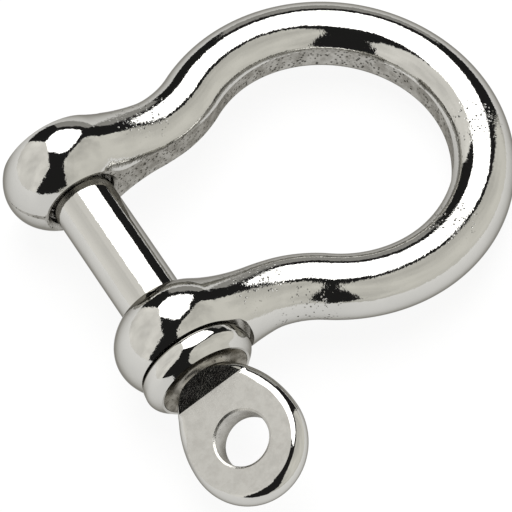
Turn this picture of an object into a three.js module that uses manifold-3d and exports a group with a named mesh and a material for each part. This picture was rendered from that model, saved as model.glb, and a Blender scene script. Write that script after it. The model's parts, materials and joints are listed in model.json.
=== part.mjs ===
// Screw-pin bow shackle in polished stainless steel, lying on a flat surface.
//
// Two pieces: the bow, forged with its two ears, and the screw pin, forged with its collar and eye.
// Millimetres. The row frame has +Z up, +X from the pin to the crown, and the pin's eye towards -Y.
// The shackle is first drawn in its own design frame: pin axis on Y, bow in the XY plane. Then it is
// tipped about the pin axis until the crown and both ears rest on the ground, and the whole is moved
// so that the origin is the centre of the base of the bounding box.

import * as THREE from 'three';
import { mergeVertices } from 'three/addons/utils/BufferGeometryUtils.js';
import Module from 'manifold-3d';

// ---- Driving dimensions ----

const WIRE_DIAMETER = 10;          // bar that the bow is bent from
const PIN_DIAMETER = 10;           // plain shank of the pin
const PIN_TO_CROWN_CENTRE = 37.2;  // pin axis to the centre of the crown's arc
const CROWN_RADIUS = 23.6;         // centreline of the crown
const NECK_RADIUS = 19.1;          // centreline of the reverse bend between crown and leg
const LEG_OFFSET = 16.8;           // centreline of each straight leg from the middle of the jaw

const JAW_WIDTH = 22;              // between the inner faces of the ears
const EAR_OUTER_Y = 21;            // spot face on the outside of each ear
const EAR_RADIUS = 9.9;            // largest radius of an ear about the pin axis
const EAR_MIDDLE_Y = LEG_OFFSET;   // the ear is largest in line with its leg
const EAR_HALF_DEPTH = 8.8;        // half depth of the egg that the ear is cut from

const ROOT_RADIUS = 7.2;           // swelling where the leg runs into the ear
const ROOT_LENGTH = 17;
const ROOT_FADE = [                // [share of the length, how far it still stands out from the bar]
  [0.25, ROOT_RADIUS - WIRE_DIAMETER / 2],
  [0.55, 0.9],
  [1, 0.1],
];
const SPOT_FACE_CLEARANCE = 0.6;   // how much larger the spot face is than the collar

const NEAR_BORE_RADIUS = 5.4;      // clearance hole that the thread passes through
const FAR_BORE_RADIUS = 5.2;       // threaded hole, at the bottom of its thread
const COUNTERBORE_RADIUS = 5.6;    // recess that takes the end of the shank in the far ear
const COUNTERBORE_DEPTH = 1.6;
const BORE_CHAMFER = 0.5;

const THREAD_PITCH = 1.5;
const THREAD_CREST_RADIUS = 4.9;
const THREAD_ROOT_RADIUS = 4.1;
const THREAD_TURNS = 5;
const THREAD_FLANK = 0.42;         // share of the pitch that each flank takes
const SHANK_END_Y = 12.3;          // plain shank stops inside the counterbore
const SHANK_CHAMFER = 0.8;
const PIN_TIP_Y = 21.6;
const TIP_CHAMFER = 0.9;
const TIP_INSET = 0.5;             // how much smaller the end of the tip is than the thread's root

const COLLAR_GAP = 0.3;            // running gap between collar and spot face
const COLLAR_RADIUS = 8.9;
const COLLAR_RIM_RADIUS = 7.6;     // edge of the collar's front face
const COLLAR_THICKNESS = 4;
const COLLAR_DISH = 0.6;           // how far the front face is hollowed towards the neck
const COLLAR_FRONT_ROUND = [0.5, 0.8];   // in from the widest radius, back from the front edge
const COLLAR_BACK_ROUND = [0.6, 0.6];    // in from the widest radius, forward from the back face
const NECK_WAIST_RADIUS = 5;
const NECK_OVERLAP = 1;            // how far the round neck runs on into the flat eye

const EYE_CENTRE_Y = -37.1;
const EYE_HALF_WIDTH = 9.2;
const EYE_TIP_REACH = 9.9;         // eye centre to the tip
const EYE_NECK_REACH = 13.3;       // eye centre to where the same curve would close on the pin axis
const EYE_THICKNESS = 4.4;
const EYE_EDGE_ROUND = 1.25;       // how far the rounded edge stands out from the flat
const EYE_HOLE_RADIUS = 4.1;
const EYE_HOLE_CHAMFER = 0.4;
const EYE_ROLL = THREE.MathUtils.degToRad(30);    // eye's plane turned about the pin axis
const FACET_FOLD_Y = -28.9;        // where the sloping facet meets the flat of the eye
const FACET_SLOPE = THREE.MathUtils.degToRad(45);

const ROUND_SEGMENTS = 32;
const WIRE_HALF_SEGMENTS = 12;
const BOW_STEPS = 52;
const EAR_STEPS = 7;
const EYE_OUTLINE_STEPS = 36;

// ---- Solids ----

const wasm = await Module();
wasm.setup();

/** Turns a closed three.js geometry into a solid. */
function solidFrom(geometry) {
  const bare = geometry.clone();
  bare.deleteAttribute('normal');
  bare.deleteAttribute('uv');
  const merged = mergeVertices(bare, 1e-4);
  const corners = merged.index.array;
  const kept = [];
  for (let i = 0; i < corners.length; i += 3) {
    const [a, b, c] = [corners[i], corners[i + 1], corners[i + 2]];
    if (a !== b && b !== c && c !== a) kept.push(a, b, c);
  }
  return new wasm.Manifold(new wasm.Mesh({
    numProp: 3,
    vertProperties: new Float32Array(merged.attributes.position.array),
    triVerts: new Uint32Array(kept),
  }));
}

/** Turns a solid back into a three.js geometry. */
function geometryFrom(solid) {
  const mesh = solid.getMesh();
  const geometry = new THREE.BufferGeometry();
  geometry.setAttribute('position', new THREE.BufferAttribute(new Float32Array(mesh.vertProperties), 3));
  geometry.setIndex(new THREE.BufferAttribute(new Uint32Array(mesh.triVerts), 1));
  geometry.computeVertexNormals();
  return geometry;
}

/** Solid of revolution about the pin axis; profile is [radius, y] pairs with y rising. */
function turned(profile) {
  const points = profile.map(([radius, y]) => new THREE.Vector2(radius, y));
  return solidFrom(new THREE.LatheGeometry(points, ROUND_SEGMENTS));
}

/** The same profile seen in a mirror at the middle of the jaw. */
function mirrored(profile) {
  return profile.map(([radius, y]) => [radius, -y]).reverse();
}

// ---- Bow ----

/** Centreline of the bow: straight leg, reverse bend, crown, reverse bend, straight leg. */
function bowCentreline() {
  const reach = CROWN_RADIUS + NECK_RADIUS;
  const neckAngle = Math.acos((LEG_OFFSET + NECK_RADIUS) / reach);
  const neckX = PIN_TO_CROWN_CENTRE - reach * Math.sin(neckAngle);
  const neckY = LEG_OFFSET + NECK_RADIUS;
  const quarter = Math.PI / 2;
  const line = new THREE.Path();
  line.moveTo(0, -LEG_OFFSET);
  line.lineTo(neckX, -LEG_OFFSET);
  line.absarc(neckX, -neckY, NECK_RADIUS, quarter, quarter - neckAngle, true);
  line.absarc(PIN_TO_CROWN_CENTRE, 0, CROWN_RADIUS, -quarter - neckAngle, quarter + neckAngle, false);
  line.absarc(neckX, neckY, NECK_RADIUS, -quarter + neckAngle, -quarter, true);
  line.lineTo(0, LEG_OFFSET);
  const points = line.getSpacedPoints(BOW_STEPS);
  return new THREE.CatmullRomCurve3(points.map((p) => new THREE.Vector3(p.x, p.y, 0)));
}

function bowBar() {
  const section = new THREE.Shape();
  section.absarc(0, 0, WIRE_DIAMETER / 2, 0, 2 * Math.PI, false);
  return solidFrom(new THREE.ExtrudeGeometry(section, {
    curveSegments: WIRE_HALF_SEGMENTS,
    steps: BOW_STEPS,
    extrudePath: bowCentreline(),
  }));
}

/** Egg-shaped ear, cut flat on the jaw side and at the spot face. */
function earProfile() {
  const profile = [[0, JAW_WIDTH / 2]];
  const start = Math.acos((EAR_MIDDLE_Y - JAW_WIDTH / 2) / EAR_HALF_DEPTH);
  const end = Math.acos((EAR_OUTER_Y - EAR_MIDDLE_Y) / EAR_HALF_DEPTH);
  for (let i = 0; i <= EAR_STEPS; i += 1) {
    const angle = Math.PI - start + (i / EAR_STEPS) * (start + end - Math.PI);
    profile.push([EAR_RADIUS * Math.sin(angle), EAR_MIDDLE_Y + EAR_HALF_DEPTH * Math.cos(angle)]);
  }
  profile.push([0, EAR_OUTER_Y]);
  return profile;
}

/** Swelling that carries the leg smoothly into the ear; a body of revolution about the leg. */
function earRoot(side) {
  const fade = ROOT_FADE.map(([share, out]) => [WIRE_DIAMETER / 2 + out, share * ROOT_LENGTH]);
  const points = [[0, 0], [ROOT_RADIUS, 0], ...fade, [0, ROOT_LENGTH]]
    .map(([radius, along]) => new THREE.Vector2(radius, along));
  const root = new THREE.LatheGeometry(points, ROUND_SEGMENTS);
  root.rotateZ(-Math.PI / 2);
  root.translate(0, side * LEG_OFFSET, 0);
  return solidFrom(root);
}

const BORE_OVERRUN = 8;            // how far each cutting tool runs past the ear

function nearBoreProfile() {
  const inner = JAW_WIDTH / 2;
  return [
    [0, inner - BORE_OVERRUN],
    [NEAR_BORE_RADIUS, inner - BORE_OVERRUN],
    [NEAR_BORE_RADIUS, EAR_OUTER_Y + BORE_OVERRUN],
    [0, EAR_OUTER_Y + BORE_OVERRUN],
  ];
}

function farBoreProfile() {
  const inner = JAW_WIDTH / 2;
  const mouth = COUNTERBORE_RADIUS + BORE_CHAMFER;
  return [
    [0, inner - BORE_OVERRUN],
    [mouth, inner - BORE_OVERRUN],
    [mouth, inner],
    [COUNTERBORE_RADIUS, inner + BORE_CHAMFER],
    [COUNTERBORE_RADIUS, inner + COUNTERBORE_DEPTH],
    [FAR_BORE_RADIUS, inner + COUNTERBORE_DEPTH],
    [FAR_BORE_RADIUS, EAR_OUTER_Y + BORE_OVERRUN],
    [0, EAR_OUTER_Y + BORE_OVERRUN],
  ];
}

/** Trims the swelling back to the flat inner faces of the ears. */
function jawBlock() {
  const length = 2 * EAR_RADIUS;
  const block = new THREE.BoxGeometry(2 * length, JAW_WIDTH, 2 * length);
  block.translate(ROOT_LENGTH - length, 0, 0);
  return solidFrom(block);
}

/** Takes away the side of the leg that would foul the collar, round the spot face. */
function spotFaceProfile() {
  const radius = COLLAR_RADIUS + SPOT_FACE_CLEARANCE;
  return [
    [0, EAR_OUTER_Y],
    [radius, EAR_OUTER_Y],
    [radius, EAR_OUTER_Y + BORE_OVERRUN],
    [0, EAR_OUTER_Y + BORE_OVERRUN],
  ];
}

function bowSolid() {
  return bowBar()
    .add(turned(earProfile()))
    .add(turned(mirrored(earProfile())))
    .add(earRoot(1))
    .add(earRoot(-1))
    .subtract(jawBlock())
    .subtract(turned(farBoreProfile()))
    .subtract(turned(spotFaceProfile()))
    .subtract(turned(mirrored(nearBoreProfile())))
    .subtract(turned(mirrored(spotFaceProfile())));
}

// ---- Screw pin ----

/** Half width of the eye's outline, seen square to the flat. */
function eyeHalfWidth(y) {
  const reach = y > EYE_CENTRE_Y ? EYE_NECK_REACH : EYE_TIP_REACH;
  const part = (y - EYE_CENTRE_Y) / reach;
  return EYE_HALF_WIDTH * Math.sqrt(Math.max(0, 1 - part * part));
}

/** Rounded rim of the collar, from its dished front face to the face that meets the ear. */
function collarProfile() {
  const back = -EAR_OUTER_Y - COLLAR_GAP;
  const front = back - COLLAR_THICKNESS;
  return [
    [NECK_WAIST_RADIUS, front + COLLAR_DISH],
    [COLLAR_RIM_RADIUS, front],
    [COLLAR_RADIUS - COLLAR_FRONT_ROUND[0], front + COLLAR_FRONT_ROUND[1]],
    [COLLAR_RADIUS, front + 0.5 * COLLAR_THICKNESS],
    [COLLAR_RADIUS, back - COLLAR_BACK_ROUND[1]],
    [COLLAR_RADIUS - COLLAR_BACK_ROUND[0], back],
    [PIN_DIAMETER / 2, back],
  ];
}

/** Thread as a stack of rings with flat crests. */
function threadProfile() {
  const profile = [];
  const last = PIN_TIP_Y - TIP_CHAMFER;
  const first = last - THREAD_TURNS * THREAD_PITCH;
  for (let turn = 0; turn < THREAD_TURNS; turn += 1) {
    const y = first + turn * THREAD_PITCH;
    profile.push([THREAD_ROOT_RADIUS, y]);
    profile.push([THREAD_CREST_RADIUS, y + THREAD_FLANK * THREAD_PITCH]);
    profile.push([THREAD_CREST_RADIUS, y + (1 - THREAD_FLANK) * THREAD_PITCH]);
  }
  profile.push([THREAD_ROOT_RADIUS, last]);
  return profile;
}

function pinProfile() {
  const radius = PIN_DIAMETER / 2;
  const neckY = -EAR_OUTER_Y - COLLAR_GAP - COLLAR_THICKNESS;
  const rootY = FACET_FOLD_Y - NECK_OVERLAP;
  const waistY = neckY - COLLAR_DISH;
  const neck = [rootY, 0.5 * (rootY + waistY), waistY].map((y) => [eyeHalfWidth(y), y]);
  return [
    [0, rootY],
    ...neck,
    ...collarProfile(),
    [radius, SHANK_END_Y - SHANK_CHAMFER],
    [THREAD_ROOT_RADIUS, SHANK_END_Y],
    ...threadProfile(),
    [THREAD_ROOT_RADIUS - TIP_INSET, PIN_TIP_Y],
    [0, PIN_TIP_Y],
  ];
}

/** Wedge that cuts one sloping facet, and the space above the flat, out of the round neck. */
function facetCutter(side) {
  const half = EYE_THICKNESS / 2;
  const rise = 1.05 * NECK_WAIST_RADIUS - half;   // the slope runs out just above the round neck
  const beyond = 1.3 * COLLAR_RADIUS;
  const topY = FACET_FOLD_Y + rise / Math.tan(FACET_SLOPE);
  const wedge = new THREE.Shape();
  wedge.moveTo(FACET_FOLD_Y, half);
  wedge.lineTo(topY, half + rise);
  wedge.lineTo(topY, beyond);
  wedge.lineTo(FACET_FOLD_Y - beyond, beyond);
  wedge.lineTo(FACET_FOLD_Y - beyond, half);
  const prism = new THREE.ExtrudeGeometry(wedge, { depth: 2 * beyond, bevelEnabled: false });
  prism.translate(0, 0, -beyond);
  // The prism is drawn with Y across and Z up the page, and its length along X.
  prism.applyMatrix4(new THREE.Matrix4().makeBasis(
    new THREE.Vector3(0, 1, 0),
    new THREE.Vector3(0, 0, 1),
    new THREE.Vector3(1, 0, 0),
  ));
  if (side < 0) prism.rotateY(Math.PI);
  return solidFrom(prism);
}

/** Flat plate of the eye with its edge rounded over the full thickness. */
function eyePlate() {
  const halfWidth = EYE_HALF_WIDTH - EYE_EDGE_ROUND;
  const start = Math.asin((FACET_FOLD_Y - EYE_CENTRE_Y) / EYE_NECK_REACH);
  const outline = new THREE.Shape();
  for (let i = 0; i <= EYE_OUTLINE_STEPS; i += 1) {
    const angle = start - (i / EYE_OUTLINE_STEPS) * (Math.PI + 2 * start);
    const reach = (angle > 0 || angle < -Math.PI ? EYE_NECK_REACH : EYE_TIP_REACH) - EYE_EDGE_ROUND;
    const x = halfWidth * Math.cos(angle);
    const y = EYE_CENTRE_Y + reach * Math.sin(angle);
    if (i === 0) outline.moveTo(x, y);
    else outline.lineTo(x, y);
  }
  const core = 0.005 * EYE_THICKNESS;   // straight part left between the two half-round bevels
  const plate = new THREE.ExtrudeGeometry(outline, {
    depth: core,
    bevelEnabled: true,
    bevelThickness: (EYE_THICKNESS - core) / 2,
    bevelSize: EYE_EDGE_ROUND,
    bevelSegments: 3,
  });
  plate.translate(0, 0, -core / 2);
  return solidFrom(plate);
}

/** Hole through the eye, opened out by a small chamfer at each face. */
function eyeHole() {
  const half = EYE_THICKNESS / 2;
  const mouth = EYE_HOLE_RADIUS + EYE_HOLE_CHAMFER;
  const over = mouth + 1;
  const points = [
    [0, -half - 1], [over, -half - 1], [EYE_HOLE_RADIUS, -half + EYE_HOLE_CHAMFER],
    [EYE_HOLE_RADIUS, half - EYE_HOLE_CHAMFER], [over, half + 1], [0, half + 1],
  ].map(([radius, z]) => new THREE.Vector2(radius, z));
  const cutter = new THREE.LatheGeometry(points, ROUND_SEGMENTS);
  cutter.rotateX(Math.PI / 2);
  cutter.translate(0, EYE_CENTRE_Y, 0);
  return solidFrom(cutter);
}

function pinSolid() {
  return turned(pinProfile())
    .subtract(facetCutter(1))
    .subtract(facetCutter(-1))
    .add(eyePlate())
    .subtract(eyeHole());
}

// ---- Assembly ----

function steel(colour, roughness) {
  return new THREE.MeshStandardMaterial({ color: colour, roughness, metalness: 1 });
}

function namedMesh(name, solid, material) {
  const mesh = new THREE.Mesh(geometryFrom(solid), material);
  mesh.name = name;
  return mesh;
}

/** Angle that lays the crown on the ground when the ears already rest on it. */
function restingTilt() {
  const crownReach = PIN_TO_CROWN_CENTRE + CROWN_RADIUS;
  return Math.asin((EAR_RADIUS - WIRE_DIAMETER / 2) / crownReach);
}

const bow = namedMesh('bow', bowSolid(), steel(0xc8c7c2, 0.1));
const screwPin = namedMesh('screw_pin', pinSolid(), steel(0xcccbc6, 0.12));
screwPin.rotation.y = -EYE_ROLL;

const shackle = new THREE.Group();
shackle.rotation.y = restingTilt();
shackle.add(bow, screwPin);

const part = new THREE.Group();
part.add(shackle);
const box = new THREE.Box3().setFromObject(part, true);
const middle = box.getCenter(new THREE.Vector3());
shackle.position.set(-middle.x, -middle.y, -box.min.z);

export default part;
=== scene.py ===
# %% [markdown]
# # A polished bow shackle
# A bow shackle is a lyre-shaped loop of steel bar with a round ear at each end, closed by a screw pin.
# The pin has a threaded tip, a plain shank, a round collar and a flattened eye to turn it by.
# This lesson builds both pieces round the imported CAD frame. The bow follows a rule all the way round,
# so Geometry Nodes sweep it. The pin is turned and ground, so it is made like that: turned, then cut.

import json
import math

import bpy
import bmesh
from mathutils import Matrix, Vector


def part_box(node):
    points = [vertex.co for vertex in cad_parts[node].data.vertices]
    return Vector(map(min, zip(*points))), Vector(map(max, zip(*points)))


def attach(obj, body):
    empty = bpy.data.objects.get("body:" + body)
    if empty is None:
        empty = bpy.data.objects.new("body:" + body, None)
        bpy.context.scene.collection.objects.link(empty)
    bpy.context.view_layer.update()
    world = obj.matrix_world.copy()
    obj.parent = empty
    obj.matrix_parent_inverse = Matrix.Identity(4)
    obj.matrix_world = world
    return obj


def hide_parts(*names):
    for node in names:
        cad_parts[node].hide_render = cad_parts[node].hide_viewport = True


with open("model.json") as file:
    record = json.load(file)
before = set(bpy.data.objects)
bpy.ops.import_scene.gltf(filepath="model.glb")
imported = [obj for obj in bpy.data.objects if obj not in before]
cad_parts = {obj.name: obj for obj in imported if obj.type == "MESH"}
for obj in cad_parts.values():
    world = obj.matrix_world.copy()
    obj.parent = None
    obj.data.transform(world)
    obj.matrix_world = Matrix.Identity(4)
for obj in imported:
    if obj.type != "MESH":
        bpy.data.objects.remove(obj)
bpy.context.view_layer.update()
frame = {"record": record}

# %% [markdown]
# The shackle is easiest to think about on the drawing board: millimetres, pin axis along Y, bow flat in
# the XY plane and the pin's eye towards -Y. On the ground it lies tipped, because the ears are thicker
# than the bar. `PLACE` carries the drawing board to the ground, and everything goes through it once.

# %% Drawing board to ground
MM = 0.001
BAR_RADIUS = 5.0
FACET_TRIM = 0.025    # how much thinner the round bar is, to stay inside the faceted CAD bar
CROWN_RADIUS = 23.6
PIN_TO_CROWN = 37.2
EAR_RADIUS = 9.9
EYE_ROLL = math.radians(30)

tilt = math.asin((EAR_RADIUS - BAR_RADIUS) / (PIN_TO_CROWN + CROWN_RADIUS))
mounts = {m["name"]: m["pos_m"] for m in frame["record"]["mounts"]}
pin_low, pin_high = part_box("screw_pin")
jaw_middle = (mounts["near_jaw_face"][1] + mounts["far_jaw_face"][1]) / 2
axis_point = Vector(((pin_low.x + pin_high.x) / 2, jaw_middle, (pin_low.z + pin_high.z) / 2))
PLACE = Matrix.Translation(axis_point) @ Matrix.Rotation(tilt, 4, "Y") @ Matrix.Scale(MM, 4)
PLACE_PIN = PLACE @ Matrix.Rotation(-EYE_ROLL, 4, "Y")
print("pin axis at", [round(1000 * v, 2) for v in axis_point], "mm, tipped", round(math.degrees(tilt), 2))

# %% [markdown]
# The camera comes first, so that every later step can be looked at. It stands over the eye's side of the
# shackle, high up, with a long lens, so the perspective is slight.

# %% Camera
VIEW_AZIMUTH = math.radians(-30.85)
VIEW_ELEVATION = math.radians(59.27)
VIEW_ROLL = math.radians(-0.27)
VIEW_DISTANCE = 0.5708
VIEW_LENS = 266.4
look_at = PLACE @ Vector((17.85, -10.02, 0))


def direction(azimuth, elevation):
    """Unit vector; azimuth 0 points to -Y and 90 degrees to +X."""
    flat = math.cos(elevation)
    return Vector((math.sin(azimuth) * flat, -math.cos(azimuth) * flat, math.sin(elevation)))


view_back = direction(VIEW_AZIMUTH, VIEW_ELEVATION)
camera = bpy.data.objects.new("camera", bpy.data.cameras.new("camera"))
bpy.context.scene.collection.objects.link(camera)
camera.data.lens = VIEW_LENS
camera.data.clip_start = 0.01
camera.data.clip_end = 50
camera.location = look_at + view_back * VIEW_DISTANCE
camera.rotation_mode = "QUATERNION"
turn = Matrix.Rotation(VIEW_ROLL, 3, view_back)
camera.rotation_quaternion = turn.to_quaternion() @ (-view_back).to_track_quat("-Z", "Y")
bpy.context.scene.camera = camera
print("camera", [round(v, 4) for v in camera.location])

# %% [markdown]
# Polished steel shows the studio rather than itself. Its look is the shape of the lights: broad grey
# walls at the sides, one hard-edged white panel behind and above, and black gaps between them. Each
# panel is a glowing card cut to shape, a metre and a half away. Its corners are given as azimuth and
# elevation seen from the shackle. The cards light and reflect, but the camera doesn't see them.

# %% Helpers for plain meshes and stage pieces
SCENE = bpy.context.scene


def mesh_object(name, points, faces, matrix=None):
    mesh = bpy.data.meshes.new(name)
    mesh.from_pydata([tuple(p) for p in points], [], faces)
    if matrix is not None:
        mesh.transform(matrix)
    mesh.update()
    made = bpy.data.objects.new(name, mesh)
    SCENE.collection.objects.link(made)
    return made


def glow(name, colour, strength, unevenness=0.0):
    """An even glow, or one that dims in soft clouds by up to its unevenness."""
    material = bpy.data.materials.new(name)
    material.use_nodes = True
    nodes = material.node_tree.nodes
    nodes.clear()
    emission = nodes.new("ShaderNodeEmission")
    emission.inputs["Color"].default_value = (*colour, 1)
    emission.inputs["Strength"].default_value = strength
    output = nodes.new("ShaderNodeOutputMaterial")
    links = material.node_tree.links
    links.new(emission.outputs[0], output.inputs["Surface"])
    if unevenness:
        place = nodes.new("ShaderNodeTexCoord")
        clouds = nodes.new("ShaderNodeTexNoise")
        clouds.inputs["Scale"].default_value = 1.6
        clouds.inputs["Detail"].default_value = 2.0
        dimmer = nodes.new("ShaderNodeMapRange")
        dimmer.inputs["From Min"].default_value = 0.35
        dimmer.inputs["From Max"].default_value = 0.65
        dimmer.inputs["To Min"].default_value = strength * (1 - unevenness)
        dimmer.inputs["To Max"].default_value = strength
        links.new(place.outputs["Object"], clouds.inputs["Vector"])
        links.new(clouds.outputs["Fac"], dimmer.inputs["Value"])
        links.new(dimmer.outputs["Result"], emission.inputs["Strength"])
    return material


# %% Cards round the shackle
CARD_DISTANCE = 1.5
CARD_CENTRE = Vector((0, 0, 0.007))


def card(name, corners, colour, strength, unevenness=0.0):
    points = [
        CARD_CENTRE + CARD_DISTANCE * direction(math.radians(a), math.radians(e))
        for a, e in corners
    ]
    made = mesh_object(name, points, [tuple(range(len(points)))])
    made.data.materials.append(glow(name, colour, strength, unevenness))
    made.visible_camera = False
    return made


WARM_GREY = (1.0, 0.985, 0.945)
WARMER_GREY = (1.0, 0.985, 0.92)
WALL_UNEVENNESS = 0.26
card("panel_behind", [(112, 52), (120, 38), (128, 29), (150, 31), (167, 30), (180, 38), (197, 43),
                      (218, 52), (228, 66), (-110, 80), (-20, 83), (30, 79), (75, 71), (100, 60)],
     (1, 1, 1), 3.0)
card("wall_left", [(-166, 0), (-166, 48), (-150, 58), (-132, 64), (-109, 67), (-86, 64), (-68, 58),
                   (-54, 50), (-62, 0)], WARM_GREY, 1.18, WALL_UNEVENNESS)
card("wall_right", [(-28, 0), (-11, 11), (-10, 24), (-13, 50), (-5, 64), (20, 70), (60, 66), (88, 56),
                    (104, 44), (104, 0)], WARMER_GREY, 0.96, WALL_UNEVENNESS)
card("wall_low_behind", [(126, 0), (126, 14), (145, 20), (163, 18), (165, 0)], WARM_GREY, 0.42)

# %% [markdown]
# The shackle lies on a bright pale sheet. A little light comes from the sheet itself, as on a light
# table, which keeps the shadow faint. Far away a pale dome closes the view for the camera alone.

# %% Floor and backdrop
SCENE.view_settings.view_transform = "Standard"
world = bpy.data.worlds.new("studio")
world.use_nodes = True
world.node_tree.nodes["Background"].inputs["Color"].default_value = (0.02, 0.02, 0.02, 1)
SCENE.world = world

FLOOR_HALF = 6.0
SHEET_GREY = 0.08
SHEET_GLOW = 0.89
floor = mesh_object("floor", [(-FLOOR_HALF, -FLOOR_HALF, 0), (FLOOR_HALF, -FLOOR_HALF, 0),
                              (FLOOR_HALF, FLOOR_HALF, 0), (-FLOOR_HALF, FLOOR_HALF, 0)], [(0, 1, 2, 3)])
floor_material = bpy.data.materials.new("pale_sheet")
floor_material.use_nodes = True
sheet = floor_material.node_tree.nodes["Principled BSDF"]
sheet.inputs["Base Color"].default_value = (SHEET_GREY, SHEET_GREY, SHEET_GREY, 1)
sheet.inputs["Roughness"].default_value = 0.6
sheet.inputs["Emission Color"].default_value = (1, 1, 1, 1)
sheet.inputs["Emission Strength"].default_value = SHEET_GLOW
floor.data.materials.append(floor_material)

BACKDROP_RADIUS = 4.2
BACKDROP_GLOW = 0.97
dome_mesh = bpy.data.meshes.new("backdrop")
shell = bmesh.new()
bmesh.ops.create_uvsphere(shell, u_segments=48, v_segments=24, radius=BACKDROP_RADIUS)
shell.to_mesh(dome_mesh)
shell.free()
backdrop = bpy.data.objects.new("backdrop", dome_mesh)
SCENE.collection.objects.link(backdrop)
backdrop.data.materials.append(glow("backdrop", (1, 1, 1), BACKDROP_GLOW))
for ray in ("diffuse", "glossy", "transmission", "volume_scatter", "shadow"):
    setattr(backdrop, "visible_" + ray, False)

# %% [markdown]
# A rule in a node tree is a chain of Math nodes. `Term` lets the chain be written as arithmetic: adding
# two terms adds a Math node that adds them. It serves geometry trees and material trees alike.

# %% Arithmetic in node trees
class Term:
    """One number running through a node tree."""

    def __init__(self, tree, socket):
        self.tree = tree
        self.socket = socket

    def math(self, operation, *others, first=None):
        node = self.tree.nodes.new("ShaderNodeMath")
        node.operation = operation
        for i, value in enumerate((self if first is None else first, *others)):
            if isinstance(value, Term):
                self.tree.links.new(value.socket, node.inputs[i])
            else:
                node.inputs[i].default_value = value
        return Term(self.tree, node.outputs[0])

    def __add__(self, other):
        return self.math("ADD", other)

    def __sub__(self, other):
        return self.math("SUBTRACT", other)

    def __rsub__(self, other):
        return self.math("SUBTRACT", self, first=other)

    def __mul__(self, other):
        return self.math("MULTIPLY", other)

    def __truediv__(self, other):
        return self.math("DIVIDE", other)

    def lower(self, other):
        return self.math("MINIMUM", other)

    def higher(self, other):
        return self.math("MAXIMUM", other)

    def smooth_lower(self, other, blend):
        return self.math("SMOOTH_MIN", other, blend)

    def smooth_higher(self, other, blend):
        return self.math("SMOOTH_MAX", other, blend)

    def above(self, other):
        return self.math("GREATER_THAN", other)

    def root(self):
        return self.higher(0.0).math("SQRT")

    def ramp(self, start, end):
        """0 at start, 1 at end, smooth between."""
        node = self.tree.nodes.new("ShaderNodeMapRange")
        node.interpolation_type = "SMOOTHSTEP"
        self.tree.links.new(self.socket, node.inputs["Value"])
        node.inputs["From Min"].default_value = start
        node.inputs["From Max"].default_value = end
        return Term(self.tree, node.outputs["Result"])


def combined(tree, x, y, z):
    node = tree.nodes.new("ShaderNodeCombineXYZ")
    for value, socket in zip((x, y, z), node.inputs):
        if isinstance(value, Term):
            tree.links.new(value.socket, socket)
        else:
            socket.default_value = value
    return node.outputs[0]


def separated(tree, vector):
    node = tree.nodes.new("ShaderNodeSeparateXYZ")
    tree.links.new(vector, node.inputs[0])
    return [Term(tree, s) for s in node.outputs]


# %% [markdown]
# Surfaces next. Every finish starts from the same stainless steel and differs in how it was worked:
# buffed to a mirror, blasted and left dull, ground on a belt, or turned on a lathe. The collar's hollow
# front face and the slope on the eye are also coloured darker, as painted shade. Patterns are laid
# out on the drawing board's millimetres, so a Mapping node undoes `PLACE` first.

# %% Node helpers for the finishes
def board_coordinates(tree, stretch=(1, 1, 1), roll=0.0):
    """Object coordinates taken back to drawing-board millimetres, then stretched."""
    source = tree.nodes.new("ShaderNodeTexCoord")
    undo = tree.nodes.new("ShaderNodeMapping")
    undo.vector_type = "TEXTURE"
    undo.inputs["Location"].default_value = axis_point
    undo.inputs["Rotation"].default_value = (0, tilt + roll, 0)
    undo.inputs["Scale"].default_value = (MM, MM, MM)
    tree.links.new(source.outputs["Object"], undo.inputs["Vector"])
    scale = tree.nodes.new("ShaderNodeMapping")
    scale.inputs["Scale"].default_value = stretch
    tree.links.new(undo.outputs["Vector"], scale.inputs["Vector"])
    return scale.outputs["Vector"]


def noise(tree, where, scale, detail=3.0, roughness=0.5):
    node = tree.nodes.new("ShaderNodeTexNoise")
    node.inputs["Scale"].default_value = scale
    node.inputs["Detail"].default_value = detail
    node.inputs["Roughness"].default_value = roughness
    tree.links.new(where, node.inputs["Vector"])
    return Term(tree, node.outputs["Fac"])


def spots(tree, where, scale, size):
    """1 in small round spots scattered through space, 0 between them."""
    node = tree.nodes.new("ShaderNodeTexVoronoi")
    node.inputs["Scale"].default_value = scale
    tree.links.new(where, node.inputs["Vector"])
    return Term(tree, node.outputs["Distance"]).ramp(size, 0.35 * size)


def bump(tree, height, depth_mm, after=None):
    """Height is a term from 0 to 1; depth_mm is how deep its whole range goes."""
    node = tree.nodes.new("ShaderNodeBump")
    node.inputs["Distance"].default_value = depth_mm * MM
    tree.links.new(height.socket, node.inputs["Height"])
    if after is not None:
        tree.links.new(after, node.inputs["Normal"])
    return node.outputs["Normal"]


def mixed(tree, share, first, second):
    node = tree.nodes.new("ShaderNodeMix")
    node.data_type = "RGBA"
    for value, socket in ((share, node.inputs[0]), (first, node.inputs[6]), (second, node.inputs[7])):
        if isinstance(value, Term):
            tree.links.new(value.socket, socket)
        elif isinstance(value, tuple):
            socket.default_value = (*value, 1)
        else:
            tree.links.new(value, socket)
    return node.outputs[2]


def steel(name):
    """A fresh metal material; returns the material, its tree and its shader."""
    material = bpy.data.materials.new(name)
    material.use_nodes = True
    tree = material.node_tree
    shader = tree.nodes["Principled BSDF"]
    shader.inputs["Metallic"].default_value = 1.0
    shader.inputs["Specular Tint"].default_value = (*EDGE_TINT, 1)
    return material, tree, shader


STEEL = (0.565, 0.558, 0.532)
EDGE_TINT = (0.32, 0.31, 0.29)
SOOT = (0.05, 0.048, 0.043)

# %% [markdown]
# The buffed steel isn't optically flat: hand buffing leaves faint waves, which make the edges of the
# reflections wander. A few pits from the forging stay near the ear roots, where the wheel doesn't reach.

# %% Buffed steel
FINE_SHARE = 0.32     # how deep the wheel's own marks are, beside the broad waves


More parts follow.
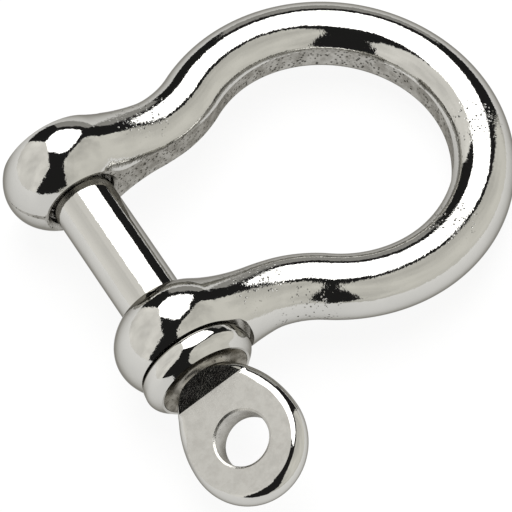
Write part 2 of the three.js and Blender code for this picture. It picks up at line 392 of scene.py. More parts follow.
def buffed(name, pit_centres, wave_mm):
    """Mirror finish; each pit centre is a point on the drawing board and how far the pits reach."""
    material, tree, shader = steel(name)
    where = board_coordinates(tree)
    broad = noise(tree, where, 0.16, 2.0)
    waves = noise(tree, where, 0.5, 3.0, 0.55)
    fine = noise(tree, where, 2.2, 2.0, 0.6)
    x, y, z = separated(tree, where)
    zone = None
    for centre, reach in pit_centres:
        dx, dy, dz = x - centre[0], y - centre[1], z - centre[2]
        near = (dx * dx + dy * dy + dz * dz).root().ramp(reach, 0.4 * reach)
        zone = near if zone is None else zone.higher(near)
    normal = bump(tree, waves, wave_mm)
    normal = bump(tree, fine, FINE_SHARE * wave_mm, normal)
    colour = mixed(tree, broad.ramp(0.35, 0.65), STEEL, tuple(0.965 * c for c in STEEL))
    rough = noise(tree, where, 1.3, 3.0).ramp(0.3, 0.8) * 0.035 + 0.035
    if zone is not None:
        pits = spots(tree, where, 1.7, 0.34) * noise(tree, where, 0.6).ramp(0.42, 0.58) * zone
        normal = bump(tree, 1.0 - pits, 0.12, normal)
        orange_peel = noise(tree, where, 3.0, 2.0, 0.6)
        normal = bump(tree, orange_peel * zone, 0.02, normal)
        colour = mixed(tree, pits, colour, SOOT)
        rough = rough + pits * 0.3
    tree.links.new(colour, shader.inputs["Base Color"])
    tree.links.new(rough.socket, shader.inputs["Roughness"])
    tree.links.new(normal, shader.inputs["Normal"])
    return material


PIT_CENTRES = [((20, -20, -3), 9), ((13, -16, 5), 6), ((13, 18, 5), 6),
               ((58.5, -7.5, 4), 5), ((45, -21, 4), 5)]
buffed_bow = buffed("buffed_bow", PIT_CENTRES, 0.03)
buffed_pin = buffed("buffed_pin", [((0, -37, 0), 4)], 0.022)

# %% [markdown]
# The inside of the bow is the scar where the forging flash was trimmed. It is left dull: grey, uneven,
# full of small dark pits, with a bright line along its edge where the wheel caught the corner.

# %% Dull and machined steel, and painted shade on the collar's front face
def dull(name, colour_a, colour_b, rough_low, rough_high, depth_mm, pit_size, pit_scale=1.5):
    material, tree, shader = steel(name)
    where = board_coordinates(tree)
    cloud = noise(tree, where, 0.55, 4.0, 0.6)
    grain = noise(tree, where, 3.0, 4.0, 0.65)
    pits = spots(tree, where, pit_scale, pit_size) * noise(tree, where, 0.8).ramp(0.38, 0.52)
    colour = mixed(tree, cloud.ramp(0.35, 0.65), colour_a, colour_b)
    colour = mixed(tree, pits * 0.9, colour, SOOT)
    rough = grain.ramp(0.3, 0.7) * (rough_high - rough_low) + rough_low
    normal = bump(tree, grain, depth_mm)
    normal = bump(tree, 1.0 - pits, 2.5 * depth_mm, normal)
    tree.links.new(colour, shader.inputs["Base Color"])
    tree.links.new(rough.socket, shader.inputs["Roughness"])
    tree.links.new(normal, shader.inputs["Normal"])
    return material


trimmed_band = dull("trimmed_band", (0.46, 0.45, 0.42), (0.30, 0.29, 0.265), 0.26, 0.48, 0.045, 0.42, 1.7)
machined = dull("machined", (0.52, 0.51, 0.48), (0.42, 0.41, 0.385), 0.2, 0.32, 0.012, 0.12)
# The collar's hollow front face: its dark colours are painted shade for the hollow between collar and neck;
# its pits and grain are real.
collar_face = dull("collar_face", (0.17, 0.16, 0.14), (0.34, 0.325, 0.29), 0.2, 0.36, 0.03, 0.2)

# %% [markdown]
# The flats of the eye were ground on a belt: an even satin with a faint mottle. The short slope that
# leads up to the neck is coarser, and its marks run along the pin. Its colour is darkened well below
# the steel's own, as painted shade.

# %% Ground steel
def ground(name, colour_a, colour_b, rough, stretch, stroke_scale, depth_mm):
    material, tree, shader = steel(name)
    where = board_coordinates(tree, (1, 1, 1), -EYE_ROLL)
    strokes_at = board_coordinates(tree, stretch, -EYE_ROLL)
    mottle = noise(tree, where, 0.7, 5.0, 0.6)
    strokes = noise(tree, strokes_at, stroke_scale, 3.0, 0.6)
    colour = mixed(tree, mottle.ramp(0.35, 0.68), colour_a, colour_b)
    roughness = strokes.ramp(0.3, 0.7) * 0.1 + rough
    normal = bump(tree, strokes, depth_mm)
    normal = bump(tree, mottle, 0.5 * depth_mm, normal)
    tree.links.new(colour, shader.inputs["Base Color"])
    tree.links.new(roughness.socket, shader.inputs["Roughness"])
    tree.links.new(normal, shader.inputs["Normal"])
    return material


satin_flat = ground("satin_flat", (0.555, 0.548, 0.525), (0.495, 0.487, 0.465), 0.16, (1, 1, 1), 2.0, 0.006)
# The slope's dark colours are painted shade; its strokes and roughness are real grinding marks.
brushed_slope = ground("brushed_slope", (0.42, 0.41, 0.385), (0.2, 0.19, 0.175), 0.06,
                       (5, 0.4, 5), 1.0, 0.026)
finishes = (buffed_bow, buffed_pin, trimmed_band, machined, collar_face, satin_flat, brushed_slope)
print("finishes:", [m.name for m in finishes])

# %% [markdown]
# ## The bow
# The bar starts at the far side of one ear, runs out along a straight leg, bends outwards, goes round the
# crown and comes back. The path is a row of points; each also knows its heading. Points crowd together
# where the ear's surface turns fastest.

# %% Path of the bar
NECK_RADIUS = 19.1
LEG_OFFSET = 16.8
JAW_HALF = 11.0
EAR_OUTER = 21.0
EAR_TRIM = 0.04       # the same for the ears
POLE_STEPS = 44
LEG_STEP = 0.3
NECK_STEPS = 26
CROWN_STEPS = 72

reach = CROWN_RADIUS + NECK_RADIUS
neck_angle = math.acos((LEG_OFFSET + NECK_RADIUS) / reach)
neck_x = PIN_TO_CROWN - reach * math.sin(neck_angle)


def half_path():
    """Points (x, y, heading) from the near ear's outer end to the middle of the crown."""
    ear = EAR_RADIUS - EAR_TRIM
    points = [(-ear * math.cos(0.5 * math.pi * i / POLE_STEPS), -LEG_OFFSET, 0.0) for i in range(POLE_STEPS)]
    steps = round(neck_x / LEG_STEP)
    points += [(neck_x * i / steps, -LEG_OFFSET, 0.0) for i in range(steps)]
    for i in range(NECK_STEPS):
        turned_by = neck_angle * i / NECK_STEPS
        points.append((neck_x + NECK_RADIUS * math.sin(turned_by),
                       -LEG_OFFSET - NECK_RADIUS * (1 - math.cos(turned_by)), -turned_by))
    for i in range(CROWN_STEPS + 1):
        angle = -(0.5 * math.pi + neck_angle) * (1 - i / CROWN_STEPS)
        points.append((PIN_TO_CROWN + CROWN_RADIUS * math.cos(angle), CROWN_RADIUS * math.sin(angle),
                       angle + 0.5 * math.pi))
    return points


near_half = half_path()
far_half = [(x, -y, math.pi - heading) for x, y, heading in reversed(near_half[:-1])]
path_points = near_half + far_half
bow_path = mesh_object("bow_path", [(x, y, 0) for x, y, h in path_points], [])
bow_path.data.edges.add(len(path_points) - 1)
for i, edge in enumerate(bow_path.data.edges):
    edge.vertices = (i, i + 1)
headings = bow_path.data.attributes.new("heading", "FLOAT", "POINT")
headings.data.foreach_set("value", [h for x, y, h in path_points])
print("path points:", len(path_points), "leg straight to x =", round(neck_x, 2), "mm")

# %% [markdown]
# The section at each point follows one rule. In an ear it is a slice of an egg; on the bar it is round;
# in the ear's root a round fillet leads from one to the other. On the inside the section is cut flat:
# by the jaw face in the ear, and by the narrow trimmed band along the bar. The rule puts mesh points
# exactly on the two edges of that flat, so the edge stays crisp all the way round.

# %% Node tree that sweeps the bow
WELD = 0.0005         # points closer than this become one
NEAR_EAR_START = 30.0
NEAR_EAR_END = 14.0
BAND_BLEND = 0.8


def number_input(tree, name, value):
    socket = tree.interface.new_socket(name, in_out="INPUT", socket_type="NodeSocketFloat")
    socket.default_value = value
    return socket


def sweep_tree():
    tree = bpy.data.node_groups.new("swept_bow", "GeometryNodeTree")
    tree.interface.new_socket("Path", in_out="INPUT", socket_type="NodeSocketGeometry")
    for name in ("Bar Radius", "Leg Radius", "Ear Radius", "Inner Depth", "Outer Depth", "Jaw Reach",
                 "Band Depth", "Root Band Depth", "Root Fillet", "Section Points", "Flat Points"):
        number_input(tree, name, 0.0)
    tree.interface.new_socket("Bow", in_out="OUTPUT", socket_type="NodeSocketGeometry")
    nodes, links = tree.nodes, tree.links
    given = nodes.new("NodeGroupInput")
    size = {s.name: Term(tree, s) for s in given.outputs if s.name not in ("Path", "")}

    def named(name, kind="FLOAT"):
        node = nodes.new("GeometryNodeInputNamedAttribute")
        node.data_type = kind
        node.inputs["Name"].default_value = name
        return next(s for s in node.outputs if s.enabled and s.name == "Attribute")

    def store(geometry, name, value, kind="FLOAT"):
        node = nodes.new("GeometryNodeStoreNamedAttribute")
        node.data_type = kind
        node.inputs["Name"].default_value = name
        links.new(geometry, node.inputs["Geometry"])
        links.new(value, next(s for s in node.inputs if s.enabled and s.name == "Value"))
        return node.outputs["Geometry"]

    to_curve = nodes.new("GeometryNodeMeshToCurve")
    links.new(given.outputs["Path"], to_curve.inputs["Mesh"])
    position = nodes.new("GeometryNodeInputPosition")
    path = store(to_curve.outputs["Curve"], "centre", position.outputs[0], "FLOAT_VECTOR")
    circle = nodes.new("GeometryNodeCurvePrimitiveCircle")
    links.new(size["Section Points"].socket, circle.inputs["Resolution"])
    index = Term(tree, nodes.new("GeometryNodeInputIndex").outputs[0])
    ring = store(circle.outputs["Curve"], "around", (index / size["Section Points"]).socket)
    sweep = nodes.new("GeometryNodeCurveToMesh")
    links.new(path, sweep.inputs["Curve"])
    links.new(ring, sweep.inputs["Profile Curve"])

    around = Term(tree, named("around"))
    side = 1.0 - around.above(0.5) * 2.0
    away = around.lower(1.0 - around)
    centre = separated(tree, named("centre", "FLOAT_VECTOR"))
    heading = Term(tree, named("heading"))
    in_x, in_y = heading.math("SINE") * -1.0, heading.math("COSINE")

    along = centre[0]
    share = along / size["Ear Radius"]
    egg = (1.0 - share * share).root()
    on_bar = along.above(0.0)
    near_ear = along.ramp(NEAR_EAR_START, NEAR_EAR_END)
    bar = size["Bar Radius"] + (size["Leg Radius"] - size["Bar Radius"]) * near_ear

    fillet, ear = size["Root Fillet"], size["Ear Radius"]
    fillet_top = size["Leg Radius"] + fillet
    fillet_end = ((ear + fillet) * (ear + fillet) - fillet_top * fillet_top).root()
    to_end = (fillet_end - along).higher(0.0)
    root = fillet_top - (fillet * fillet - to_end * to_end).root() + bar - size["Leg Radius"]
    past_ear = along.above(fillet_end * ear / (ear + fillet))
    ear_up = egg * ear
    up = ear_up + past_ear * (root - ear_up)

    spread = (up - bar) / (ear - bar)
    depth = []
    for name in ("Inner Depth", "Outer Depth"):
        on_ear = egg * size[name]
        depth.append(on_ear + on_bar * (bar + spread * (size[name] - bar) - on_ear))
    inner, outer = depth
    cut_depth = size["Band Depth"] + (size["Root Band Depth"] - size["Band Depth"]) * near_ear
    band = size["Jaw Reach"].smooth_lower(inner - cut_depth, BAND_BLEND)
    flat = size["Jaw Reach"] + on_bar * (band - size["Jaw Reach"])

    half_flat = size["Flat Points"] / size["Section Points"]
    edge_angle = (flat / inner.higher(0.001)).lower(1.0).math("ARCCOSINE")
    beyond = ((away - half_flat) / (0.5 - half_flat)).higher(0.0).lower(1.0)
    angle = edge_angle + (math.pi - edge_angle) * beyond
    cosine = angle.math("COSINE")
    inward = cosine * (outer + cosine.above(0.0) * (inner - outer))
    upward = up * angle.math("SINE") * (away / half_flat).lower(1.0) * side
    place = nodes.new("GeometryNodeSetPosition")
    links.new(sweep.outputs["Mesh"], place.inputs["Geometry"])
    where = combined(tree, centre[0] + in_x * inward, centre[1] + in_y * inward, upward)
    links.new(where, place.inputs["Position"])

    ring_fold = store(place.outputs["Geometry"], "fold", away.socket)
    merge = nodes.new("GeometryNodeMergeByDistance")
    merge.inputs["Distance"].default_value = WELD
    links.new(ring_fold, merge.inputs["Geometry"])
    realize = nodes.new("GeometryNodeRealizeInstances")
    links.new(merge.outputs["Geometry"], realize.inputs["Geometry"])
    polish = nodes.new("GeometryNodeSetMaterial")
    polish.inputs["Material"].default_value = buffed_bow
    links.new(realize.outputs["Geometry"], polish.inputs["Geometry"])
    trim = nodes.new("GeometryNodeSetMaterial")
    trim.inputs["Material"].default_value = trimmed_band
    links.new(polish.outputs["Geometry"], trim.inputs["Geometry"])
    fold = Term(tree, named("fold"))
    links.new(fold.math("LESS_THAN", half_flat).socket, trim.inputs["Selection"])
    output = nodes.new("NodeGroupOutput")
    links.new(trim.outputs["Geometry"], output.inputs[0])
    return tree


def plain_mesh_from(holder, tree, values, name):
    """Runs a tree on an object with the given inputs and returns the result as a plain mesh object."""
    modifier = holder.modifiers.new(tree.name, "NODES")
    modifier.node_group = tree
    for item in tree.interface.items_tree:
        if item.in_out == "INPUT" and item.name in values:
            modifier[item.identifier] = values[item.name]
    graph = bpy.context.evaluated_depsgraph_get()
    mesh = bpy.data.meshes.new_from_object(holder.evaluated_get(graph), depsgraph=graph)
    mesh.name = name
    holder.modifiers.remove(modifier)
    made = bpy.data.objects.new(name, mesh)
    SCENE.collection.objects.link(made)
    return made


SECTION_POINTS = 112
FLAT_POINTS = 7
SLIVER = 0.0004
bow = plain_mesh_from(bow_path, sweep_tree(), {
    "Bar Radius": BAR_RADIUS - FACET_TRIM, "Leg Radius": 5.15, "Ear Radius": EAR_RADIUS - EAR_TRIM,
    "Inner Depth": 7.7, "Outer Depth": 8.1, "Jaw Reach": LEG_OFFSET - JAW_HALF, "Band Depth": 0.34,
    "Root Band Depth": 0.62, "Root Fillet": 24.0,
    "Section Points": float(SECTION_POINTS), "Flat Points": float(FLAT_POINTS),
}, "bow_body")
bpy.data.objects.remove(bow_path)


def tidy_normals(mesh):
    """Welds doubles, drops slivers and turns every face outwards."""
    work = bmesh.new()
    work.from_mesh(mesh)
    bmesh.ops.remove_doubles(work, verts=work.verts, dist=WELD)
    bmesh.ops.dissolve_degenerate(work, edges=work.edges, dist=SLIVER)
    bmesh.ops.recalc_face_normals(work, faces=work.faces)
    if work.calc_volume(signed=True) < 0:
        bmesh.ops.reverse_faces(work, faces=work.faces)
    open_edges = sum(1 for e in work.edges if not e.is_manifold)
    volume = work.calc_volume()
    work.to_mesh(mesh)
    work.free()
    return open_edges, volume


print("bow swept:", len(bow.data.polygons), "faces; open edges, volume mm3:", tidy_normals(bow.data))

# %% [markdown]
# Holes and faces are cut as on a drill press: each tool is a turned solid, and a boolean takes it away.
# A turned solid is a profile of (radius, y) pairs spun about the pin's axis.

# %% Turned solids
ON_AXIS = 1e-6


def turned(name, profile, segments=128, centre=(0, 0), upright=False):
    """Closed solid of revolution about Y through centre, or about Z if upright."""
    points, faces, rings = [], [], []
    for radius, y in profile:
        if radius < ON_AXIS:
            rings.append([len(points)])
            points.append((0, y, 0))
        else:
            rings.append(list(range(len(points), len(points) + segments)))
            points += [(radius * math.cos(2 * math.pi * i / segments), y,
                        radius * math.sin(2 * math.pi * i / segments)) for i in range(segments)]
    for lower, upper in zip(rings, rings[1:]):
        for i in range(segments):
            j = (i + 1) % segments
            corners = [lower[i % len(lower)], lower[j % len(lower)],
                       upper[j % len(upper)], upper[i % len(upper)]]
            faces.append(tuple(dict.fromkeys(corners)))
    turn_up = Matrix.Rotation(math.pi / 2, 4, "X") if upright else Matrix.Identity(4)
    made = mesh_object(name, points, faces, Matrix.Translation((centre[0], centre[1], 0)) @ turn_up)
    tidy_normals(made.data)
    return made


def cut(target, tool, finish, operation="DIFFERENCE"):
    """Boolean on target; faces that the tool leaves take the tool's finish. The tool is used up."""
    if finish is not None:
        tool.data.materials.clear()
        tool.data.materials.append(finish)
    modifier = target.modifiers.new("cut", "BOOLEAN")
    modifier.operation = operation
    modifier.solver = "EXACT"
    modifier.material_mode = "TRANSFER"
    modifier.object = tool
    graph = bpy.context.evaluated_depsgraph_get()
    mesh = bpy.data.meshes.new_from_object(target.evaluated_get(graph), depsgraph=graph)
    target.modifiers.remove(modifier)
    old = target.data
    target.data = mesh
    print(target.name, "cut by", tool.name, "- open edges, volume mm3:", tidy_normals(mesh))
    bpy.data.meshes.remove(old)
    bpy.data.objects.remove(tool)


# %% [markdown]
# The thread repeats, so it is a node tree too: a sheet of rows that climb one pitch per turn, wrapped
# round the axis. Rows follow the crests and roots, so their edges are clean helices. The same sheet
# makes the thread on the pin and, a little larger, the tap that cuts the thread in the far ear.

# %% Node tree for a thread
ROWS_PER_TURN = 12
CREST_SHARE = 0.2     # of half a turn's climb, measured from the middle of the crest
FLANK_SHARE = 0.6


def thread_tree():
    tree = bpy.data.node_groups.new("thread", "GeometryNodeTree")
    tree.interface.new_socket("Holder", in_out="INPUT", socket_type="NodeSocketGeometry")
    for name in ("Crest Radius", "Root Radius", "Pitch", "Start", "End", "Run Out", "Segments", "Rows"):
        number_input(tree, name, 0.0)
    tree.interface.new_socket("Thread", in_out="OUTPUT", socket_type="NodeSocketGeometry")
    nodes, links = tree.nodes, tree.links
    given = nodes.new("NodeGroupInput")
    size = {s.name: Term(tree, s) for s in given.outputs if s.name not in ("Holder", "")}
    grid = nodes.new("GeometryNodeMeshGrid")
    grid.inputs["Size X"].default_value = 1.0
    grid.inputs["Size Y"].default_value = 1.0
    links.new((size["Segments"] + 1.0).socket, grid.inputs["Vertices X"])
    links.new((size["Rows"] + 1.0).socket, grid.inputs["Vertices Y"])
    spot = separated(tree, nodes.new("GeometryNodeInputPosition").outputs[0])
    turn_share, row = spot[0] + 0.5, (spot[1] + 0.5) * size["Rows"] / float(ROWS_PER_TURN)
    free_y = size["Start"] + (row + turn_share - 1.0) * size["Pitch"]
    y = free_y.higher(size["Start"]).lower(size["End"])
    phase = row.math("FRACT")
    wave = (phase - 0.5).math("ABSOLUTE") * 2.0
    crest = 1.0 - ((wave - CREST_SHARE) / FLANK_SHARE).higher(0.0).lower(1.0)
    to_start, to_end = (y - size["Start"]) / size["Run Out"], (size["End"] - y) / size["Run Out"]
    crest = crest * to_start.lower(1.0) * to_end.lower(1.0)
    radius = size["Root Radius"] + (size["Crest Radius"] - size["Root Radius"]) * crest
    angle = turn_share * (2 * math.pi)
    place = nodes.new("GeometryNodeSetPosition")
    links.new(grid.outputs["Mesh"], place.inputs["Geometry"])
    where = combined(tree, radius * angle.math("COSINE"), y, radius * angle.math("SINE"))
    links.new(where, place.inputs["Position"])
    realize = nodes.new("GeometryNodeRealizeInstances")
    links.new(place.outputs["Geometry"], realize.inputs["Geometry"])
    finish = nodes.new("GeometryNodeSetMaterial")
    finish.inputs["Material"].default_value = machined
    links.new(realize.outputs["Geometry"], finish.inputs["Geometry"])
    output = nodes.new("NodeGroupOutput")
    links.new(finish.outputs["Geometry"], output.inputs[0])
    return tree


THREAD = thread_tree()
THREAD_PITCH = 1.5
THREAD_RUN_OUT = 0.8
SEGMENTS = 128


def threaded(name, crest, root, start, end):
    """The thread's skin, open at both ends, with its rims at the root radius."""
    rows = math.ceil((end - start) / THREAD_PITCH + 1) * ROWS_PER_TURN
    holder = mesh_object("thread_holder", [(0, 0, 0)], [])
    made = plain_mesh_from(holder, THREAD, {
        "Crest Radius": crest, "Root Radius": root, "Pitch": THREAD_PITCH, "Start": start, "End": end,
        "Run Out": THREAD_RUN_OUT, "Segments": float(SEGMENTS), "Rows": float(rows),
    }, name)
    bpy.data.objects.remove(holder)
    return made


def joined(name, objects):
    """One mesh from several, welded, with outward faces."""
    work = bmesh.new()
    materials = []
    for o in objects:
        first_new = len(work.faces)
        work.from_mesh(o.data)
        work.faces.ensure_lookup_table()
        slots = list(o.data.materials)
        for m in slots:
            if m not in materials:
                materials.append(m)
        for face in work.faces[first_new:]:
            if slots:
                face.material_index = materials.index(slots[face.material_index])
    mesh = bpy.data.meshes.new(name)
    work.to_mesh(mesh)
    work.free()
    for m in materials:
        mesh.materials.append(m)
    for o in objects:
        bpy.data.objects.remove(o)
    made = bpy.data.objects.new(name, mesh)
    SCENE.collection.objects.link(made)
    print(name, "open edges, volume mm3:", tidy_normals(mesh))
    return made


# %% [markdown]
# Five tools cut the ears. Each outer face is spot-faced, the near ear is drilled with room for the shank,
# and the far ear gets a recess, a core hole and last its thread. The tap's crest and core keep clear of
# the recess and the core hole, because a boolean fails where two surfaces coincide.

# %% Cut the ears
NEAR_BORE = 5.4
COUNTERBORE = 5.6
SPOT_FACE = 9.5
CORE_HOLE = 5.05
TAP_CREST = 5.5
TAP_CORE = 4.97
TAP_START = JAW_HALF + 1.3
TAP_END = EAR_OUTER + 1.53
TOOL_OUT = 30         # tools reach past the ear, out to here and in to here
TOOL_IN = 5
EDGE_BREAK = 0.35

for ear_side in (-1, 1):
    spot = [(0, EAR_OUTER), (SPOT_FACE, EAR_OUTER), (SPOT_FACE + 0.4, EAR_OUTER + 0.5),
            (SPOT_FACE + 0.4, EAR_OUTER + 8), (0, EAR_OUTER + 8)]
    cut(bow, turned("spot_facer", [(r, ear_side * y) for r, y in spot]), machined)

near_mouth = NEAR_BORE + 0.7
near_bore = [(0, -TOOL_OUT), (near_mouth, -TOOL_OUT), (near_mouth, -EAR_OUTER - EDGE_BREAK),
             (NEAR_BORE, -EAR_OUTER + EDGE_BREAK), (NEAR_BORE, -JAW_HALF - EDGE_BREAK),
             (near_mouth, -JAW_HALF + EDGE_BREAK), (near_mouth, -TOOL_IN), (0, -TOOL_IN)]
cut(bow, turned("drill", near_bore), machined)

far_mouth = COUNTERBORE + 1.0
far_exit = COUNTERBORE + 0.2
far_bore = [(0, TOOL_IN), (far_mouth, TOOL_IN), (far_mouth, JAW_HALF - 0.5), (COUNTERBORE, JAW_HALF + 0.5),
            (COUNTERBORE, JAW_HALF + 1.6), (CORE_HOLE, JAW_HALF + 2.1), (CORE_HOLE, EAR_OUTER - 0.4),
            (far_exit, EAR_OUTER + 0.4), (far_exit, TOOL_OUT), (0, TOOL_OUT)]
cut(bow, turned("counterbore", far_bore), machined)

tap = joined("tap", [
    threaded("tap_skin", TAP_CREST, TAP_CORE, TAP_START, TAP_END),
    turned("tap_start", [(0, TAP_START), (TAP_CORE, TAP_START)], SEGMENTS),
    turned("tap_end", [(TAP_CORE, TAP_END), (0, TAP_END)], SEGMENTS),
])
cut(bow, tap, machined)

# %% [markdown]
# ## The screw pin
# Tip, thread, shank and collar are one turned piece. The collar bulges like a doughnut, has a thin edge
# in front, and a slightly hollow front face that runs into the neck.

# %% Turned part of the pin
PIN_RADIUS = 5.0
THREAD_CREST = 4.9
THREAD_ROOT = 4.1
SHANK_END = 12.3
PIN_TIP = 21.6
COLLAR_BACK = -EAR_OUTER - 0.3
COLLAR_FRONT = COLLAR_BACK - 4.0
COLLAR_RADIUS = 8.9
COLLAR_RIM = 7.6
RIM_LIP = 0.45
RIM_BREAK = 0.12
COLLAR_ROUND = 0.9
BELLY_STEPS = 10
HOLLOW_WIDTH = 1.4
HOLLOW_DEPTH = 0.3
TIP_CHAMFER = 0.8
NECK_START = -25.9
NECK_BLEND = 0.5
EYE_NECK = 4.65
EYE_CENTRE = -37.1
EYE_HALF_WIDTH = 9.2
EYE_TIP_REACH = 9.9
EYE_NECK_REACH = 13.3


def smoothstep(x):
    x = min(1.0, max(0.0, x))
    return x * x * (3 - 2 * x)


def outline(y):
    """Half width of the blank, seen square to the flat: an ellipse that blends into the neck."""
    share = (y - EYE_CENTRE) / EYE_NECK_REACH
    wide = EYE_HALF_WIDTH * math.sqrt(max(0.0, 1 - share * share))
    gap = max(0.0, 1 - abs(wide - EYE_NECK) / NECK_BLEND)
    return max(wide, EYE_NECK) + 0.25 * NECK_BLEND * gap * gap


def arc(centre, radius, start, end, steps):
    """(radius, y) pairs round a circle; 0 degrees points outwards, 90 towards +Y."""
    return [(centre[0] + radius * math.cos(math.radians(start + (end - start) * i / steps)),
             centre[1] + radius * math.sin(math.radians(start + (end - start) * i / steps)))
            for i in range(steps + 1)]


def bulge():
    """Collar's outside in two runs: the rounded back corner, then the belly to the front edge."""
    back = arc((COLLAR_RADIUS - 1.0, COLLAR_BACK - COLLAR_ROUND), COLLAR_ROUND, 80, 12, 8)
    crown_y = COLLAR_BACK - 1.7
    belly = []
    for i in range(BELLY_STEPS + 1):
        share = i / BELLY_STEPS
        y = crown_y + (COLLAR_FRONT + 0.25 - crown_y) * share
        belly.append((COLLAR_RADIUS - (COLLAR_RADIUS - COLLAR_RIM - RIM_BREAK) * share ** 2.1, y))
    return back, belly


back_arc, belly = bulge()
collar = [(PIN_RADIUS, COLLAR_BACK), *back_arc, *belly, (COLLAR_RIM - RIM_BREAK, COLLAR_FRONT),
          (COLLAR_RIM - RIM_LIP, COLLAR_FRONT + 0.06)]
hollow = [(COLLAR_RIM - RIM_LIP - 0.1, COLLAR_FRONT + 0.2)]
hollow += [(hollow[0][0] - HOLLOW_WIDTH * s, hollow[0][1] + HOLLOW_DEPTH * math.sin(s * math.pi / 2))
           for s in (0.25, 0.5, 0.75, 1.0)]
fillet_y = hollow[-1][1]
hollow += [(EYE_NECK + (hollow[-1][0] - EYE_NECK) * (1 - math.sin(a)),
            fillet_y + (NECK_START - fillet_y) * (1 - math.cos(a)))
           for a in (math.radians(15 * k) for k in range(1, 7))]
hollow[-1] = (outline(NECK_START), NECK_START)
print("collar profile points:", len(collar), "front face:", len(hollow))

shank = turned("shank", [(THREAD_ROOT, SHANK_END), (PIN_RADIUS - 0.25, SHANK_END - 0.55),
                         (PIN_RADIUS, SHANK_END - 0.85), (PIN_RADIUS, 4), (PIN_RADIUS, -4),
                         (PIN_RADIUS, -12)] + collar[:1], SEGMENTS)
shank.data.materials.append(buffed_pin)
rim = turned("rim", collar, SEGMENTS)
rim.data.materials.append(buffed_pin)
face = turned("face", collar[-1:] + hollow, SEGMENTS)
face.data.materials.append(collar_face)
tip = turned("tip", [(0, PIN_TIP), (THREAD_ROOT - 0.6, PIN_TIP), (THREAD_ROOT - 0.2, PIN_TIP - 0.25),
                     (THREAD_ROOT, PIN_TIP - TIP_CHAMFER)], SEGMENTS)
tip.data.materials.append(machined)
pin_thread = threaded("pin_thread", THREAD_CREST, THREAD_ROOT, SHANK_END, PIN_TIP - TIP_CHAMFER)

# %% [markdown]
# The eye began as round bar, hammered flat into a spoon with a rounded rim. Its blank is a fan of half
# sections: down the right side, round the tip, up the left. Each is an arc from the top of the rim to
# the bottom. Near the collar the arcs are half circles, so the blank closes into the round neck.

# %% Blank of the eye
EYE_HALF = 2.2
EYE_HOLE = 4.1
ARC_POINTS = SEGMENTS // 2 + 1
TOP_OF_BLANK = 4.2
SIDE_STEPS = 46
FAN_STEPS = 72


def rim_width(angle):
    """How far the rim stands out from the flat; angle 0 is the right side, -90 degrees the tip."""
    return 1.2 + 0.5 * math.cos(angle + math.radians(50))


def side_rim_width(angle, y):
    """The rim grows broader again towards the neck."""
    return rim_width(angle) + (2.1 - rim_width(angle)) * smoothstep((y - EYE_CENTRE - 2.5) / 5.5)


def rim_radius(width):
    return (width * width + EYE_HALF * EYE_HALF) / (2 * width)


def flattened(y):
    """0 where the blank is still the round neck, 1 where it is hammered flat."""
    return smoothstep((NECK_START - 0.1 - y) / 2.7)


def eye_blank():
    stations = []
    for i in range(SIDE_STEPS + 1):
        y = NECK_START + (EYE_CENTRE - NECK_START) * i / SIDE_STEPS
        stations.append((Vector((0, y, 0)), 0.0, outline(y), side_rim_width(0.0, y), flattened(y)))
    for i in range(1, FAN_STEPS):
        angle = -math.pi * i / FAN_STEPS
        c, s = math.cos(angle) / EYE_HALF_WIDTH, math.sin(angle) / EYE_TIP_REACH
        stations.append((Vector((0, EYE_CENTRE, 0)), angle, 1 / math.hypot(c, s), rim_width(angle), 1.0))
    for i in range(SIDE_STEPS, -1, -1):
        y = NECK_START + (EYE_CENTRE - NECK_START) * i / SIDE_STEPS
        stations.append((Vector((0, y, 0)), -math.pi, outline(y), side_rim_width(-math.pi, y), flattened(y)))
    points, faces = [], []
    for base, angle, half_width, rim_out, flatness in stations:
        out = Vector((math.cos(angle), math.sin(angle), 0))
        radius = half_width + (rim_radius(rim_out) - half_width) * flatness
        top = half_width + (TOP_OF_BLANK - half_width) * flatness
        column = [(0.0, top)]
        for k in range(ARC_POINTS):
            phi = math.pi * (0.5 - k / (ARC_POINTS - 1))
            column.append((half_width - radius + radius * math.cos(phi), radius * math.sin(phi)))
        column.append((0.0, -top))
        points += [base + out * s + Vector((0, 0, z)) for s, z in column]
    per = ARC_POINTS + 2
    for a in range(len(stations) - 1):
        for b in range(per - 1):
            i = a * per + b
            faces.append((i, i + 1, i + per + 1, i + per))
    made = mesh_object("eye_blank", points, faces)
    made.data.materials.append(buffed_pin)
    return made


pin = joined("pin_body", [tip, pin_thread, shank, rim, face, eye_blank()])

# %% [markdown]
# Grinding comes last. A wedge-shaped tool takes the flat and the 45 degree slope above it in one pass on
# each face of the eye, slightly askew as handwork is. Then the hole is drilled and its edge broken.

# %% Grind the flats and drill the eye
FOLD_Y = -28.1
SLOPE_RUN = 2.4
SLOPE_RISE = 2.5
SKEW = math.radians(-2.2)
GRINDER_HALF_WIDTH = 14.0
GRINDER_END = -60.0
GRINDER_TOP = 9.0
DRILL_REACH = 8
DRILL_SEGMENTS = 96


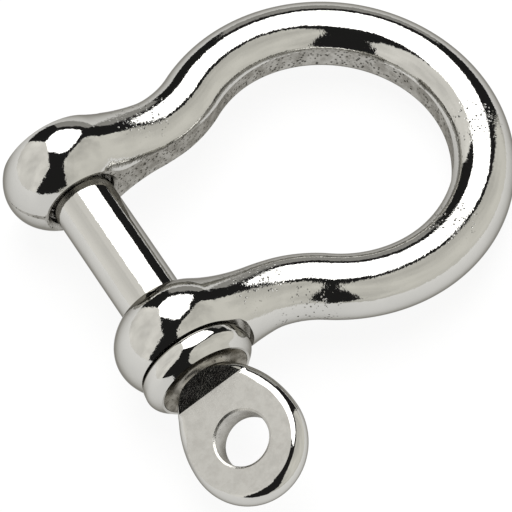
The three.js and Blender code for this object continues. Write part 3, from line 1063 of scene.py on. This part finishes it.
def wedge(name, side):
    """Tool above one face: its underside is the flat, its end the slope."""
    wide, far, high = GRINDER_HALF_WIDTH, GRINDER_END, GRINDER_TOP
    top_y = FOLD_Y + SLOPE_RUN
    profile = [(FOLD_Y, EYE_HALF), (top_y, EYE_HALF + SLOPE_RISE), (top_y, high), (far, high),
               (far, EYE_HALF)]
    points = [(x, y + x * math.tan(SKEW) * (1 if y > far else 0), side * z)
              for x in (-wide, wide) for y, z in profile]
    n = len(profile)
    faces = [tuple(range(n)), tuple(range(2 * n - 1, n - 1, -1))]
    faces += [(i, i + n, (i + 1) % n + n, (i + 1) % n) for i in range(n)]
    made = mesh_object(name, points, faces)
    tidy_normals(made.data)
    made.data.materials.append(satin_flat)
    made.data.materials.append(brushed_slope)
    for polygon in made.data.polygons:
        normal = polygon.normal
        if abs(normal.y) > 0.5 and abs(normal.z) > 0.5:
            polygon.material_index = 1
    return made


for face_side in (1, -1):
    cut(pin, wedge("grinder", face_side), None)
mouth = EYE_HOLE + 0.45
hole = [(0, -DRILL_REACH), (mouth, -DRILL_REACH), (mouth, -EYE_HALF), (EYE_HOLE + 0.12, -EYE_HALF + 0.18),
        (EYE_HOLE, -EYE_HALF + 0.5), (EYE_HOLE, EYE_HALF - 0.5), (EYE_HOLE + 0.12, EYE_HALF - 0.18),
        (mouth, EYE_HALF), (mouth, DRILL_REACH), (0, DRILL_REACH)]
cut(pin, turned("eye_drill", hole, DRILL_SEGMENTS, (0, EYE_CENTRE), True), machined)
print("pin cut:", len(pin.data.polygons), "faces; open edges, volume mm3:", tidy_normals(pin.data))

# %% [markdown]
# Both pieces are still on the drawing board. They move to the ground in one step. Smooth shading stops
# at real corners: edges sharper than 24 degrees, and edges where one finish meets another.

# %% Finish the meshes and put them in place
SHARP = math.radians(24)


def settle(piece, matrix):
    mesh = piece.data
    mesh.transform(matrix)
    mesh.shade_smooth()
    mesh.set_sharp_from_angle(angle=SHARP)
    work = bmesh.new()
    work.from_mesh(mesh)
    for edge in work.edges:
        kinds = {f.material_index for f in edge.link_faces}
        if len(kinds) > 1:
            edge.smooth = False
    work.to_mesh(mesh)
    work.free()
    mesh.update()
    triangles = sum(len(p.vertices) - 2 for p in mesh.polygons)
    print(piece.name, "triangles:", triangles)


settle(bow, PLACE)
settle(pin, PLACE_PIN)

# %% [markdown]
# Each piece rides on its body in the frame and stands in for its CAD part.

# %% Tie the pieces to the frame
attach(bow, "bow")
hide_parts("bow")
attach(pin, "pin")
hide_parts("screw_pin")
